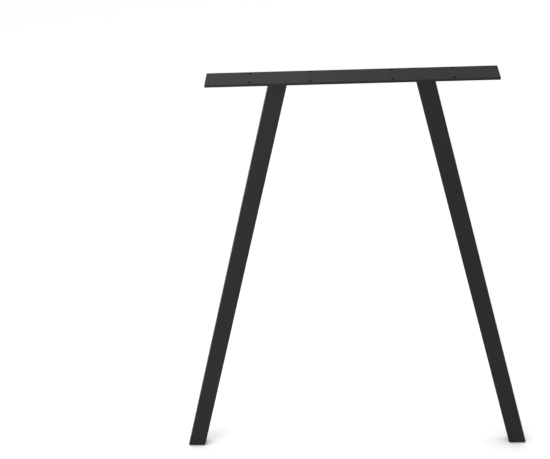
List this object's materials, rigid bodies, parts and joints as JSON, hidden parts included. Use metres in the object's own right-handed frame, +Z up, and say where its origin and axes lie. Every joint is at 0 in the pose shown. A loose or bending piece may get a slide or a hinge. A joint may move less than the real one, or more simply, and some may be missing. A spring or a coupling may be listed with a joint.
{
  "type": "trestle leg frame",
  "caption": "Rigid steel A-frame trestle: two splayed tubular legs welded under a flat, drilled mounting plate, with plastic foot plugs.",
  "frame": {"origin": "on the floor, midway between the two feet and midway through the frame's depth", "axes": "+X along the plate from the left leg to the right leg, +Y through the depth away from the front, +Z up from the floor to the plate"},
  "size_m": [0.6238, 0.052, 0.73],
  "materials": {
    "powder_coat": "satin black powder coat",
    "coated_weld": "satin black powder coat over a weld bead",
    "foot_plastic": "fine textured black plastic"
  },
  "bodies": {
    "root": {"top_plate": "powder_coat", "left_leg_tube": "powder_coat", "right_leg_tube": "powder_coat", "left_leg_weld": "coated_weld", "right_leg_weld": "coated_weld", "left_foot_plug": "foot_plastic", "right_foot_plug": "foot_plastic"}
  },
  "joints": []
}
